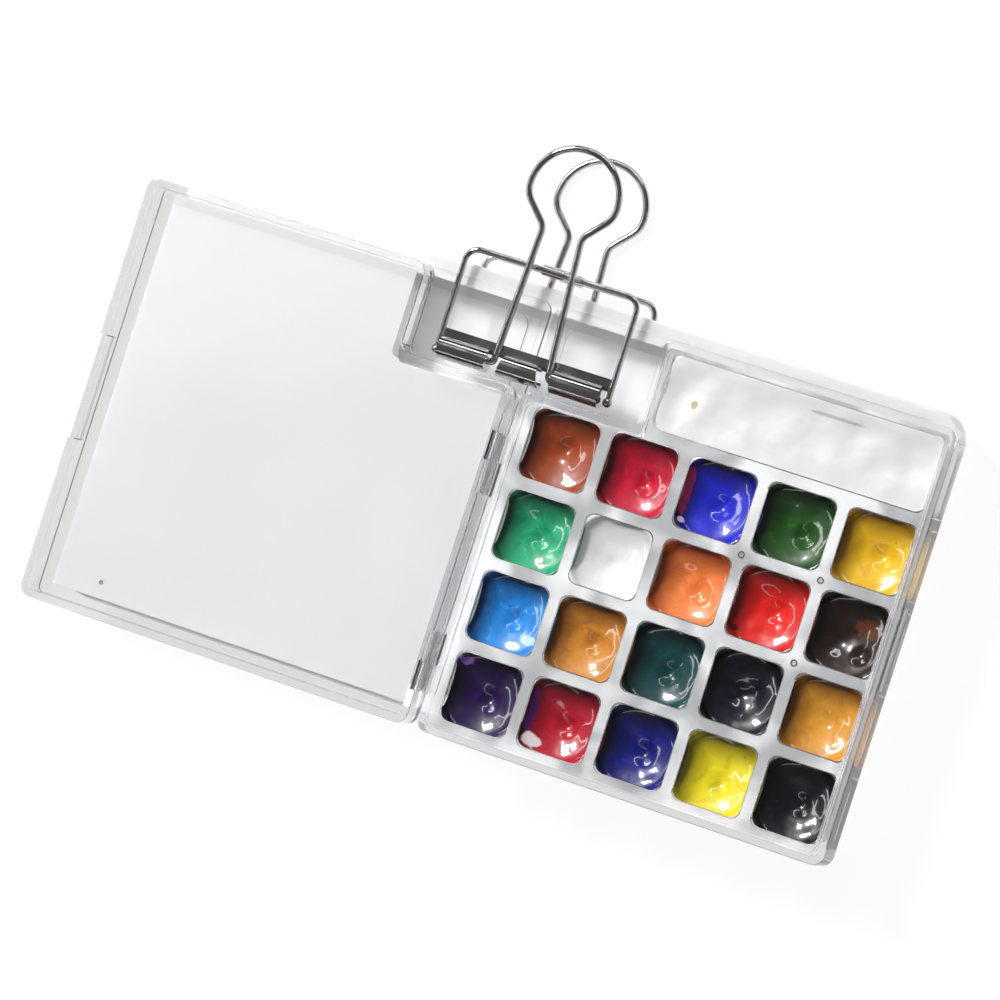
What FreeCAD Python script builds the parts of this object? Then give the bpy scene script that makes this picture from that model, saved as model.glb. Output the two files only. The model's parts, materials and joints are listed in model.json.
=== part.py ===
import FreeCAD, Part
import math
import os

# A hinged paint box of clear plastic, opened flat, with wet paint in its wells. It lies over the mouth of a
# shallow white tray, and a wire spring clip bites both. Millimetres. X runs along the open box, Y across it,
# Z up out of the wells. The design frame has X = 0 on the hinge axis, Y = 0 on the box's upper edge and
# Z = 0 under its floor; at the end everything is moved so that the origin is below the middle of the whole.

# box
half_length = 114.2          # hinge axis to the outer end of each half
lid_length = 114.2
box_width = 114.0
rim_height = 9.9
axis_height = 10.0           # hinge axis above the underside: the halves meet rim to rim
hinge_gap = 3.0              # between the two inner end walls
wall = 1.9
floor_thick = 1.6
outer_corner = 3.0
inner_corner = 1.6
edge_soft = 0.45             # rounding of moulded edges
flange_corner = 0.5
lid_floor_round = 0.8
over = 1.0                   # how far a cutting tool runs past what it cuts
notch_length = 33.5
notch_width = 23.4
flange_thick = 2.0
flange_gap = 1.0
foot_inset = 5.0
foot_inset_hinge = 5.5
foot_step = 0.6

# paint wells
deck_height = 9.1
lip_gap = 0.2
lip_root = 0.5               # how deep the lip starts inside the deck
lip_thick = 0.65
lip_height = 1.0
well_size = 18.2
well_corner = 3.0
well_floor_round = 1.8
mouth_flare = [(-0.6, 0.0), (-0.25, 0.1), (0.0, 0.4), (0.2, 0.4)]   # height over the deck, growth each side
well_pitch = 21.65
first_well_x = 15.6
first_row_y = -35.3
well_columns = 5
well_rows = 4
long_well_x0 = 37.3
long_well_x1 = 111.0
long_well_y0 = -22.7
long_well_y1 = -3.2
paint_level = 7.9
paint_gap = 0.02
dot_radius = 0.8
dot_depth = 0.2
dot_crossings = [(2, 0), (3, 0), (3, 1)]   # column and row before each dot

# closing
tab_length = 21.6
tab_proud = 1.0
tab_low = 4.6
tab_high = 8.2
tab_corner = 0.4
tab_soft = 0.3
recess_length = 28.4
recess_depth = 0.8
recess_low = 3.4
recess_corner = 0.3

# hinge
lug_radius = 2.2
pin_radius = 0.8
pin_clearance = 0.04
pin_short = 0.6              # pin end inside the end of its lugs
relief_radius = 3.0
lug_gap = 0.15
hinge_spans = [
    {"name": "upper", "tray": (-43.0, -35.6), "lid": (-52.0, -43.0)},
    {"name": "lower", "tray": (-104.5, -97.0), "lid": (-97.0, -88.5)},
]

# white tray behind the box
back_x0 = -105.8
back_x1 = 111.2
back_y0 = -110.0
back_y1 = 3.4
back_depth = 11.0
back_gap = 0.05
back_corner = 6.5
back_wall = 1.8
back_floor = 1.6
ledge_width = 6.0
ledge_thick = 1.6
mouth_corner = 3.0
back_soft_low = 2.0
back_soft_high = 0.5

# clip
clip_x = -2.2                # middle of the clip
jaw_half = 24.2              # middle of the clip to the middle of a side rail
rail_radius = 0.82
bar_y = 7.3                  # top bar, beyond the box's upper edge
frame_corner = 3.5
roll_radius = 3.0
roll_bore = 1.0
bore_stop = 2.0              # the bore ends this far before the roll's outer end
roll_inner = 9.2
roll_outer = 22.6
pivot_y = -19.25
strip_top_y = -14.2
strip_low_y = -17.45
sheet = 0.5
jaw_play = 0.03
tongue_top = 4.0
tongue_bottom = 6.0
rail_end_y = 0.9             # rails run past the pivot axis by this much
rail_end_radius = 1.3
rail_end_z = 0.2
arm_depth = 1.85             # arm plane below the roll's axis
wire_radius = 0.95
foot_end = 18.6
foot_bend = 1.1
leg_foot = 7.7
leg_neck = 5.45
neck_y = 37.1
neck_bend = 4.0
shoulder_y = 44.1
shoulder_bend = 6.0
loop_half = 12.2
loop_top = 58.7
loop_bend = 12.0
handle_tilt = 2.3
bridge_half = 3.0
bridge_wall = 0.6
bridge_play = 0.05
strap_inset = 0.8

stack_mid = (flange_thick - back_depth) / 2
half_stack = (flange_thick + back_depth) / 2
pivot_offset = half_stack + roll_radius + jaw_play
arm_offset = pivot_offset - arm_depth

paint_names = [
    ["burnt_sienna", "carmine", "ultramarine", "sap_green", "golden_yellow"],
    ["emerald", "white", "orange", "scarlet", "umber"],
    ["azure", "yellow_ochre", "viridian", "indigo", "raw_sienna"],
    ["violet", "crimson", "deep_blue", "lemon", "black"],
]


def vec(x, y, z=0.0):
    return FreeCAD.Vector(x, y, z)


def rounded_edges(corners, closed):
    """Straight edges through (x, y, radius) corners, with a tangent arc at each rounded corner."""
    count = len(corners)
    starts = []
    ends = []
    arcs = []
    for i, (x, y, radius) in enumerate(corners):
        here = vec(x, y)
        inner = closed or 0 < i < count - 1
        if radius <= 0 or not inner:
            starts.append(here)
            ends.append(here)
            arcs.append(None)
            continue
        before = (vec(*corners[i - 1][:2]) - here).normalize()
        after = (vec(*corners[(i + 1) % count][:2]) - here).normalize()
        half = before.getAngle(after) / 2
        bisector = (before + after).normalize()
        first = here + before * (radius / math.tan(half))
        last = here + after * (radius / math.tan(half))
        middle = here + bisector * (radius / math.sin(half) - radius)
        starts.append(first)
        ends.append(last)
        arcs.append(Part.Arc(first, middle, last).toShape())
    edges = []
    for i in range(count):
        if arcs[i]:
            edges.append(arcs[i])
        if i < count - 1 or closed:
            a = ends[i]
            b = starts[(i + 1) % count]
            if a.distanceToPoint(b) > 1e-6:
                edges.append(Part.makeLine(a, b))
    return edges


def prism(corners, z0, z1, soft_low=0.0, soft_high=0.0):
    """An upright solid on a rounded outline, with its lower and upper edges softened."""
    face = Part.Face(Part.Wire(rounded_edges(corners, True)))
    face.translate(vec(0, 0, z0))
    solid = face.extrude(vec(0, 0, z1 - z0))
    for level, radius in ((z0, soft_low), (z1, soft_high)):
        if radius > 0:
            flat = [e for e in solid.Edges if all(abs(v.Z - level) < 1e-6 for v in e.Vertexes)]
            solid = solid.makeFillet(radius, flat)
    return solid


def rectangle(x0, y0, x1, y1, radius):
    return [(x0, y0, radius), (x1, y0, radius), (x1, y1, radius), (x0, y1, radius)]


def cylinder_x(x0, x1, y, z, radius):
    return Part.makeCylinder(radius, x1 - x0, vec(x0, y, z), vec(1, 0, 0))


def cylinder_y(y0, y1, radius):
    """A cylinder round the hinge axis."""
    return Part.makeCylinder(radius, y1 - y0, vec(0, y0, axis_height), vec(0, 1, 0))


def half_outline(length, inset, radius):
    """Outline of one half with its clip notch, drawn on the +X side and pulled in by inset."""
    inner = hinge_gap / 2 + inset
    return [
        (inner, -box_width + inset, radius),
        (length - inset, -box_width + inset, radius),
        (length - inset, -inset, radius),
        (notch_length + inset, -inset, radius),
        (notch_length + inset, -notch_width - inset, radius),
        (inner, -notch_width - inset, radius),
    ]


def box_half(length):
    """Floor with its foot panel, flange plate and a solid block up to the rim."""
    block = prism(half_outline(length, 0, outer_corner), 0, rim_height, edge_soft, edge_soft)
    overlap = wall
    flange = prism(
        [
            (flange_gap / 2, -notch_width - overlap, flange_corner),
            (notch_length + overlap, -notch_width - overlap, flange_corner),
            (notch_length + overlap, 0, flange_corner),
            (flange_gap / 2, 0, outer_corner),
        ],
        0,
        flange_thick,
        0,
        edge_soft,
    )
    half = block.fuse(flange)
    border = prism(rectangle(-over, -box_width - over, length + over, over, 0), -over, foot_step)
    foot = prism(
        rectangle(foot_inset_hinge, -box_width + foot_inset, length - foot_inset, -foot_inset, outer_corner),
        -2 * over,
        foot_step + over,
    )
    return half.cut(border.cut(foot))


def hinge_lug(span):
    low, high = span
    barrel = cylinder_y(low + lug_gap / 2, high - lug_gap / 2, lug_radius)
    arm = Part.makeBox(
        hinge_gap / 2 + wall / 2,
        high - low - lug_gap,
        lug_radius,
        vec(0, low + lug_gap / 2, axis_height - lug_radius),
    )
    return barrel.fuse(arm)


def with_hinge(half, own, other):
    """Cut room for the other half's lugs, then add this half's own, drilled for the pin."""
    for hinge in hinge_spans:
        low, high = hinge[other]
        half = half.cut(cylinder_y(low - lug_gap, high + lug_gap, relief_radius))
    for hinge in hinge_spans:
        half = half.fuse(hinge_lug(hinge[own]))
    for hinge in hinge_spans:
        low, high = hinge[own]
        half = half.cut(cylinder_y(low - over, high + over, pin_radius + pin_clearance))
    return half


def well_places():
    """Every small well as (name, x, y)."""
    for row in range(well_rows):
        for column in range(well_columns):
            x = first_well_x + column * well_pitch
            y = first_row_y - row * well_pitch
            yield paint_names[row][column], x, y


def pocket(x0, y0, x1, y1):
    """The room of one well: rounded floor, upright sides and a mouth that flares onto the deck."""
    top = rim_height + lip_height + over
    room = prism(rectangle(x0, y0, x1, y1, well_corner), floor_thick, top, well_floor_round)
    rings = []
    for level, grow in mouth_flare:
        outline = rectangle(x0 - grow, y0 - grow, x1 + grow, y1 + grow, well_corner + grow)
        ring = Part.Wire(rounded_edges(outline, True))
        ring.translate(vec(0, 0, deck_height + level))
        rings.append(ring)
    return room.fuse(Part.makeLoft(rings, True, True))


def tray_shell():
    half = box_half(half_length)
    above = prism(half_outline(half_length, wall, inner_corner), deck_height, rim_height + over)
    half = half.cut(above)
    lip_in = wall + lip_gap
    lip_top = rim_height + lip_height
    lip = prism(half_outline(half_length, lip_in, inner_corner), deck_height - lip_root, lip_top)
    core_outline = half_outline(half_length, lip_in + lip_thick, inner_corner)
    lip_core = prism(core_outline, deck_height - over, lip_top + over)
    half = half.fuse(lip.cut(lip_core))
    half_well = well_size / 2
    for _, x, y in well_places():
        half = half.cut(pocket(x - half_well, y - half_well, x + half_well, y + half_well))
    half = half.cut(pocket(long_well_x0, long_well_y0, long_well_x1, long_well_y1))
    for column, row in dot_crossings:
        x = first_well_x + (column + 0.5) * well_pitch
        y = first_row_y - (row + 0.5) * well_pitch
        half = half.cut(Part.makeCylinder(dot_radius, over, vec(x, y, deck_height - dot_depth)))
    tab_y = -box_width / 2
    tab_low_y = tab_y - tab_length / 2
    tab_high_y = tab_low_y + tab_length
    tab_end = half_length + tab_proud
    tab_outline = rectangle(half_length - over, tab_low_y, tab_end, tab_high_y, tab_corner)
    tab = prism(tab_outline, tab_low, tab_high, tab_soft, tab_soft)
    return with_hinge(half.fuse(tab), "tray", "lid")


def lid_shell():
    half = box_half(lid_length)
    inside = half_outline(lid_length, wall, inner_corner)
    room = prism(inside, floor_thick, rim_height + over, lid_floor_round)
    half = half.cut(room)
    low_y = -(box_width + recess_length) / 2
    high_y = low_y + recess_length
    outline = rectangle(lid_length - recess_depth, low_y, lid_length + over, high_y, recess_corner)
    recess = prism(outline, recess_low, rim_height + over)
    half = with_hinge(half.cut(recess), "lid", "tray")
    return half.mirror(vec(0, 0, 0), vec(1, 0, 0))


def hinge_pin(hinge):
    low = min(hinge["tray"][0], hinge["lid"][0]) + pin_short
    high = max(hinge["tray"][1], hinge["lid"][1]) - pin_short
    return cylinder_y(low, high, pin_radius)


def paint_pour(x0, y0, x1, y1):
    gap = paint_gap
    outline = rectangle(x0 + gap, y0 + gap, x1 - gap, y1 - gap, well_corner - gap)
    return prism(outline, floor_thick, paint_level, well_floor_round + gap)


def backing_outline(inset, radius):
    return rectangle(back_x0 + inset, back_y0 + inset, back_x1 - inset, back_y1 - inset, radius)


def backing_tray():
    """A shallow tray, open upwards, with a ledge round its mouth on which the box lies."""
    top = -back_gap
    outer = prism(backing_outline(0, back_corner), -back_depth, top, back_soft_low, back_soft_high)
    room_outline = backing_outline(back_wall, back_corner - back_wall)
    room = prism(room_outline, back_floor - back_depth, top - ledge_thick)
    mouth = prism(backing_outline(ledge_width, mouth_corner), top - ledge_thick - over, top + over)
    return outer.cut(room).cut(mouth)


def pipe(corners, radius, closed=False):
    """A round wire along a path of (x, y, bend radius) corners in the XY plane."""
    path = Part.Wire(rounded_edges(corners, closed))
    start = vec(*corners[0][:2])
    heading = (vec(*corners[1][:2]) - start).normalize()
    section = Part.Face(Part.Wire(Part.makeCircle(radius, start, heading)))
    return path.makePipe(section)


def span_x(side, near, far):
    """The lower and higher X of a span that lies near to far from the middle, on one side of it."""
    return min(side * near, side * far), max(side * near, side * far)


def clip_tongue():
    """The middle of the jaw: a curved flap of strip, wider towards the mouth of the clip."""
    shell = cylinder_x(-tongue_bottom, tongue_bottom, pivot_y, arm_depth, roll_radius)
    inside = cylinder_x(-tongue_bottom - over, tongue_bottom + over, pivot_y, arm_depth, roll_radius - sheet)
    mouth_y = pivot_y - roll_radius
    outline = [
        (-tongue_top, strip_top_y, 0),
        (tongue_top, strip_top_y, 0),
        (tongue_bottom, mouth_y, 0),
        (-tongue_bottom, mouth_y, 0),
    ]
    return shell.cut(inside).common(prism(outline, -sheet / 2, arm_depth + roll_radius + over))


def clip_arm():
    """One arm of the clip in its own plane: Z = 0 is the rails' plane and the roll stands on its +Z side."""
    end_y = pivot_y - rail_end_y
    frame = pipe(
        [
            (-jaw_half, end_y, 0),
            (-jaw_half, bar_y, frame_corner),
            (jaw_half, bar_y, frame_corner),
            (jaw_half, end_y, 0),
        ],
        rail_radius,
    )
    strip_corner = vec(-jaw_half, strip_low_y, -sheet / 2)
    strip = Part.makeBox(2 * jaw_half, strip_top_y - strip_low_y, sheet, strip_corner)
    pieces = [strip, clip_tongue()]
    for side in (-1, 1):
        x0, x1 = span_x(side, roll_inner, roll_outer)
        pieces.append(cylinder_x(x0, x1, pivot_y, arm_depth, roll_radius))
        pieces.append(Part.makeSphere(rail_end_radius, vec(side * jaw_half, end_y, rail_end_z)))
    arm = frame.fuse(pieces)
    for side in (-1, 1):
        x0, x1 = span_x(side, roll_inner - over, roll_outer - bore_stop)
        arm = arm.cut(cylinder_x(x0, x1, pivot_y, arm_depth, roll_bore))
    return arm


def clip_handle():
    """A keyhole of wire. Its turned-out feet lie along the pivot axis; it points along +Y."""
    right = [
        (foot_end, 0, 0),
        (leg_foot, 0, foot_bend),
        (leg_neck, neck_y, neck_bend),
        (loop_half, shoulder_y, shoulder_bend),
        (loop_half, loop_top, loop_bend),
    ]
    left = [(-x, y, radius) for x, y, radius in reversed(right)]
    return pipe(right + left, wire_radius)


def placed_on_clip(shape, front):
    """From the arm's own plane to the front (upper) or rear (lower) side of the stack."""
    if not front:
        shape = shape.mirror(vec(0, 0, 0), vec(0, 0, 1))
    offset = arm_offset if front else -arm_offset
    shape.translate(vec(clip_x, 0, stack_mid + offset))
    return shape


def placed_handle(front):
    handle = clip_handle()
    handle.rotate(vec(0, 0, 0), vec(1, 0, 0), handle_tilt)
    handle.translate(vec(0, pivot_y, arm_depth))
    return placed_on_clip(handle, front)


def clip_bridge():
    """A strip that wraps both top bars and holds them apart."""
    outer = rail_radius + bridge_play + bridge_wall
    x0 = clip_x - bridge_half
    x1 = clip_x + bridge_half
    pieces = []
    for offset in (arm_offset, -arm_offset):
        pieces.append(cylinder_x(x0, x1, bar_y, stack_mid + offset, outer))
    strap = Part.makeBox(
        2 * (bridge_half - strap_inset),
        bridge_wall,
        2 * arm_offset,
        vec(x0 + strap_inset, bar_y + outer - bridge_wall, stack_mid - arm_offset),
    )
    body = strap.fuse(pieces)
    for offset in (arm_offset, -arm_offset):
        bore = rail_radius + bridge_play
        body = body.cut(cylinder_x(x0 - over, x1 + over, bar_y, stack_mid + offset, bore))
    return body


def build():
    """Every sub-part by name, in the design frame."""
    nodes = {"tray_shell": tray_shell(), "lid_shell": lid_shell()}
    for hinge in hinge_spans:
        nodes["hinge_pin_" + hinge["name"]] = hinge_pin(hinge)
    half = well_size / 2
    for name, x, y in well_places():
        nodes["paint_" + name] = paint_pour(x - half, y - half, x + half, y + half)
    nodes["paint_white_long"] = paint_pour(long_well_x0, long_well_y0, long_well_x1, long_well_y1)
    nodes["backing_tray"] = backing_tray()
    nodes["clip_front_arm"] = placed_on_clip(clip_arm(), True)
    nodes["clip_rear_arm"] = placed_on_clip(clip_arm(), False)
    nodes["clip_bridge"] = clip_bridge()
    nodes["clip_front_handle"] = placed_handle(True)
    nodes["clip_rear_handle"] = placed_handle(False)
    return nodes


nodes = build()
whole = Part.makeCompound(list(nodes.values())).optimalBoundingBox(False)
shift = vec(-whole.Center.x, -whole.Center.y, -whole.ZMin)
os.makedirs("parts", exist_ok=True)
for name, shape in nodes.items():
    solid = shape.removeSplitter()
    solid.translate(shift)
    solid.exportStep("parts/" + name + ".step")
    print(name, "valid" if solid.isValid() else "INVALID", len(solid.Solids), round(solid.Volume, 1))
print("whole", round(whole.XLength, 2), round(whole.YLength, 2), round(whole.ZLength, 2), "shift", shift)
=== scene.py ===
# %% Load the frame
import json
import math
import bpy
from mathutils import Matrix, Vector


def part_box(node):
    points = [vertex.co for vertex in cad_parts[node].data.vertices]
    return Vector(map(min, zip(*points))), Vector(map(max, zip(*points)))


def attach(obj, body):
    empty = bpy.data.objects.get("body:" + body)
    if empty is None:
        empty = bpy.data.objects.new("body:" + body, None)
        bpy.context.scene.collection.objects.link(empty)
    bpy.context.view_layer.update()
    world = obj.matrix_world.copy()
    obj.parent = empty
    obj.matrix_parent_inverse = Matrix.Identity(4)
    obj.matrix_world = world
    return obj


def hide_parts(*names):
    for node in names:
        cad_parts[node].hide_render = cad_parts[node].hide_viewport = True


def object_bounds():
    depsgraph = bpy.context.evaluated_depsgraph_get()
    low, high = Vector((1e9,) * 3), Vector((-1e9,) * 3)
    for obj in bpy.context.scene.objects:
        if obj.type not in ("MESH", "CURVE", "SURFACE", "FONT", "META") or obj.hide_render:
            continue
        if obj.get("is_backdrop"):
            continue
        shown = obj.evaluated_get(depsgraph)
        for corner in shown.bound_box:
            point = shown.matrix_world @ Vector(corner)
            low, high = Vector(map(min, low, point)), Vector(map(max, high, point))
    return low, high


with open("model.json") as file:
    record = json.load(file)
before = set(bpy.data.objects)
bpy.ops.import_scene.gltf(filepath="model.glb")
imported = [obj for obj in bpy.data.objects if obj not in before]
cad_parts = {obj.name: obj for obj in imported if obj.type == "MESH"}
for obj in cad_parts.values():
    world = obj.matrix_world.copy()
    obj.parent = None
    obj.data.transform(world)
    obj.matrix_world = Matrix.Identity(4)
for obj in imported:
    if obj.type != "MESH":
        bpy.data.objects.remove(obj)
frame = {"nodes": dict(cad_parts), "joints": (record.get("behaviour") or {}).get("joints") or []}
cad_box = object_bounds()
print("CAD box in mm:", [[round(v * 1000, 1) for v in corner] for corner in cad_box])

# %% [markdown]
# The palette is a flat box of clear plastic, opened like a book, with twenty one wells of wet paint in its
# right half. All places below are counted in millimetres from one corner of the box: across from the hinge
# line, down from the upper edge, and up from the underside. That is how a maker would measure the real one,
# so the first step finds this corner in the frame, and gives one helper that turns such a place into metres.

# %% Find the box's own corner
MM = 0.001
hinge = next(joint for joint in frame["joints"] if joint["name"] == "lid_hinge")
lid_low, lid_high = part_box("lid_shell")
corner_of_box = Vector((hinge["pos_m"][0], lid_high.y, lid_low.z))


def place(x, y, z):
    """A place on the box, in millimetres, as a point in the frame, in metres."""
    return corner_of_box + Vector((x, y, z)) * MM


def row(*values):
    """A row of numbers in millimetres, for printing."""
    return [round(v / MM, 2) for v in values]


print("the box's corner is at", row(*corner_of_box), "mm")

# %% [markdown]
# The camera comes next, because everything else is judged through it. It looks down on the open box from far
# away with a long lens, a little from the right, and is turned so that the box hangs slanted in the picture.

# %% Camera
camera_data = bpy.data.cameras.new("camera")
camera_data.lens = 213.6
camera_data.sensor_width = 36.0
camera_data.clip_start = 0.05
camera_data.clip_end = 20.0
camera = bpy.data.objects.new("camera", camera_data)
camera.location = place(498.3, -21.5, 1431.8)
camera.rotation_euler = [math.radians(turn) for turn in (4.934, 18.552, 18.704)]
bpy.context.scene.collection.objects.link(camera)
bpy.context.scene.camera = camera
print("camera at", row(*camera.location), "mm, lens", camera_data.lens)

# %% [markdown]
# Small helpers for working as by hand: everything is deselected before a new primitive is added, faces and
# edges are picked by where they are, and a finished piece has its place baked into its mesh.


# %% Helpers for modelling
def start_fresh():
    """Object mode, nothing selected."""
    if bpy.context.object and bpy.context.object.mode != "OBJECT":
        bpy.ops.object.mode_set(mode="OBJECT")
    bpy.ops.object.select_all(action="DESELECT")


def settle():
    """Bake the active object's place, turn and size into its mesh."""
    bpy.ops.object.transform_apply(location=True, rotation=True, scale=True)


def take_up(piece):
    """Select one piece only, and make it the active one."""
    start_fresh()
    piece.select_set(True)
    bpy.context.view_layer.objects.active = piece


def pick(piece, kind, test):
    """Enter edit mode with just the vertices, edges or faces that pass the test."""
    take_up(piece)
    bpy.ops.object.mode_set(mode="EDIT")
    bpy.ops.mesh.select_mode(type=kind)
    bpy.ops.mesh.select_all(action="DESELECT")
    bpy.ops.object.mode_set(mode="OBJECT")
    mesh = piece.data
    parts = {"VERT": mesh.vertices, "EDGE": mesh.edges, "FACE": mesh.polygons}[kind]
    for part in parts:
        part.select = test(part)
    bpy.ops.object.mode_set(mode="EDIT")


def ends(piece, edge):
    """The two end points of an edge."""
    first, last = edge.vertices
    return piece.data.vertices[first].co, piece.data.vertices[last].co


def use(piece, kind, **settings):
    """Add a modifier to a piece and apply it."""
    take_up(piece)
    modifier = piece.modifiers.new(kind.lower(), kind)
    for name, value in settings.items():
        setattr(modifier, name, value)
    bpy.ops.object.modifier_apply(modifier=modifier.name)


def block(name, low, high, corner=0.0, floor_round=0.0, steps=6):
    """A block between two corners, with rounded upright edges and a rounded underside."""
    start_fresh()
    bpy.ops.mesh.primitive_cube_add(size=1, location=(low + high) / 2)
    made = bpy.context.object
    made.name = name
    made.scale = high - low
    settle()
    small = 1e-6
    if corner > 0:
        pick(made, "EDGE", lambda e: (ends(made, e)[0] - ends(made, e)[1]).xy.length < small)
        bpy.ops.mesh.bevel(offset=corner, segments=steps, affect="EDGES")
        bpy.ops.object.mode_set(mode="OBJECT")
    if floor_round > 0:
        pick(made, "EDGE", lambda e: max(p.z for p in ends(made, e)) < low.z + small)
        bpy.ops.mesh.bevel(offset=floor_round, segments=4, affect="EDGES")
        bpy.ops.object.mode_set(mode="OBJECT")
    return made


def scrap(piece):
    """Throw a helper object away."""
    bpy.data.objects.remove(piece)


# %% [markdown]
# Node helpers. A material is a chain of small steps, so these put a node down, feed its sockets, and keep the
# later cells about the finish itself. A value that is the same all over a surface is typed straight into the
# shader's socket.


# %% Helpers for materials
def put(tree, kind, feeds=None, **settings):
    """Add a node, set its properties, and fill its inputs with numbers or links."""
    node = tree.nodes.new(kind)
    for name, value in settings.items():
        setattr(node, name, value)
    for socket, value in (feeds or {}).items():
        target = node.inputs[socket]
        if isinstance(value, bpy.types.NodeSocket):
            tree.links.new(value, target)
        else:
            target.default_value = value
    return node


def maths(tree, operation, first, second=0.0, third=0.0):
    return put(tree, "ShaderNodeMath", {0: first, 1: second, 2: third}, operation=operation).outputs[0]


def ramp(tree, value, low, high, to_low=0.0, to_high=1.0):
    """A smooth step from to_low to to_high as value goes from low to high."""
    feeds = {"Value": value, "From Min": low, "From Max": high, "To Min": to_low, "To Max": to_high}
    return put(tree, "ShaderNodeMapRange", feeds, interpolation_type="SMOOTHSTEP").outputs["Result"]


def blend_colours(tree, share, first, second):
    node = put(tree, "ShaderNodeMix", data_type="RGBA")
    for socket, value in ((0, share), (6, first), (7, second)):
        if isinstance(value, bpy.types.NodeSocket):
            tree.links.new(value, node.inputs[socket])
        else:
            node.inputs[socket].default_value = value
    return node.outputs[2]


def noise(tree, at, scale, detail=2.0, rough=0.5, twist=0.0):
    feeds = {"Vector": at, "Scale": scale, "Detail": detail, "Roughness": rough, "Distortion": twist}
    return put(tree, "ShaderNodeTexNoise", feeds).outputs["Fac"]


def new_material(name):
    """A material with a Principled shader, its tree and its object coordinates."""
    material = bpy.data.materials.new(name)
    material.use_nodes = True
    tree = material.node_tree
    shader = tree.nodes["Principled BSDF"]
    at = put(tree, "ShaderNodeTexCoord").outputs["Object"]
    return material, tree, shader, at


def new_group(name, inputs, outputs):
    """A shader node group with named sockets: (name, kind, default) going in and (name, kind) coming out."""
    group = bpy.data.node_groups.new(name, "ShaderNodeTree")
    for socket, kind, default in inputs:
        made = group.interface.new_socket(socket, in_out="INPUT", socket_type="NodeSocket" + kind)
        if default is not None:
            made.default_value = default
    for socket, kind in outputs:
        group.interface.new_socket(socket, in_out="OUTPUT", socket_type="NodeSocket" + kind)
    source = group.nodes.new("NodeGroupInput")
    drain = group.nodes.new("NodeGroupOutput")
    return group, source.outputs, drain.inputs


def place_group(tree, group, feeds):
    return put(tree, "ShaderNodeGroup", feeds, node_tree=group).outputs


def bump(tree, height, strength, distance):
    feeds = {"Height": height, "Strength": strength, "Distance": distance}
    return put(tree, "ShaderNodeBump", feeds).outputs[0]


# %% [markdown]
# Three effects are shared by more than one finish, so each is a node group. The first marks a box in space
# with soft edges, for a finish that changes from one part of a moulding to another. The second gives moulded
# plastic its faint flow waves, pores and dust. The third sprinkles tiny round pits, as air leaves in wet
# paint and as fine frost leaves in plastic.


# %% Group: a soft box in space
def make_zone():
    inputs = [(name, "Vector", None) for name in ("Position", "Low", "High")] + [("Soft", "Float", MM)]
    tree, given, out = new_group("zone", inputs, [("Mask", "Float")])
    corners = ("Position", "Low", "High")
    parts = [put(tree, "ShaderNodeSeparateXYZ", {0: given[name]}).outputs for name in corners]
    mask = None
    for axis in range(3):
        at, low, high = [part[axis] for part in parts]
        above = maths(tree, "DIVIDE", maths(tree, "SUBTRACT", at, low), given["Soft"])
        below = maths(tree, "DIVIDE", maths(tree, "SUBTRACT", high, at), given["Soft"])
        inside = maths(tree, "MINIMUM", above, below)
        mask = inside if mask is None else maths(tree, "MINIMUM", mask, inside)
    clamped = put(tree, "ShaderNodeClamp", {"Value": mask})
    tree.links.new(clamped.outputs[0], out["Mask"])
    return tree


zone = make_zone()
print("made group", zone.name)


# %% Group: moulded plastic
def make_moulded():
    inputs = [("Position", "Vector", None), ("Wave", "Float", 60.0), ("Grain", "Float", 900.0)]
    outputs = [(name, "Float") for name in ("Waves", "Dust", "Height")]
    tree, given, out = new_group("moulded", inputs, outputs)
    waves = noise(tree, given["Position"], given["Wave"], detail=2.0, twist=0.6)
    grain = noise(tree, given["Position"], given["Grain"], detail=3.0, rough=0.6)
    dust = ramp(tree, grain, 0.62, 0.78)
    height = maths(tree, "MULTIPLY_ADD", grain, 0.15, waves)
    for name, value in (("Waves", waves), ("Dust", dust), ("Height", height)):
        tree.links.new(value, out[name])
    return tree


moulded = make_moulded()
print("made group", moulded.name)


# %% Group: pits
def make_pits():
    inputs = [("Position", "Vector", None)]
    inputs += [("Scale", "Float", 300.0), ("Size", "Float", 0.1), ("Share", "Float", 0.3)]
    tree, given, out = new_group("pits", inputs, [("Mask", "Float")])
    cells = put(tree, "ShaderNodeTexVoronoi", {"Vector": given["Position"], "Scale": given["Scale"]})
    chance = put(tree, "ShaderNodeSeparateColor", {0: cells.outputs["Color"]}).outputs
    kept = maths(tree, "LESS_THAN", chance[0], given["Share"])
    size = maths(tree, "MULTIPLY", given["Size"], maths(tree, "ADD", chance[1], 0.4))
    near = maths(tree, "SUBTRACT", 1.0, maths(tree, "DIVIDE", cells.outputs["Distance"], size))
    round_pit = put(tree, "ShaderNodeClamp", {"Value": near}).outputs[0]
    tree.links.new(maths(tree, "MULTIPLY", round_pit, kept), out["Mask"])
    return tree


pits = make_pits()
print("made group", pits.name)

# %% [markdown]
# Clear plastic. The box is moulded polystyrene: water clear, a little wavy, glossy. Light also has to reach
# what lies behind it, and a lamp's light finds its way through solid glass only by luck, so for shadow rays
# the plastic is a thin tinted film instead. The lid's floor is frosted on the real box, so its gloss drops
# inside the lid's foot line, where a zone marks the floor, and rises again on the flanges by the clip. The
# rim outside the foot line is tinted darker as painted shade, a little less at the lid's outer end. Two fine
# grey lines of painted shade draw the foot's step and the wall's root.

# %% Clear plastic
LID = 114.2
WIDTH = 114.0
WALL = 1.9
NOTCH = 33.5
NOTCH_DEPTH = 23.4
FOOT = 5.0
FOOT_HINGE = 5.5
LINE_SOFT = 0.2
FROST_ROUGH = 0.42
PLASTIC_IOR = 1.57


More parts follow.
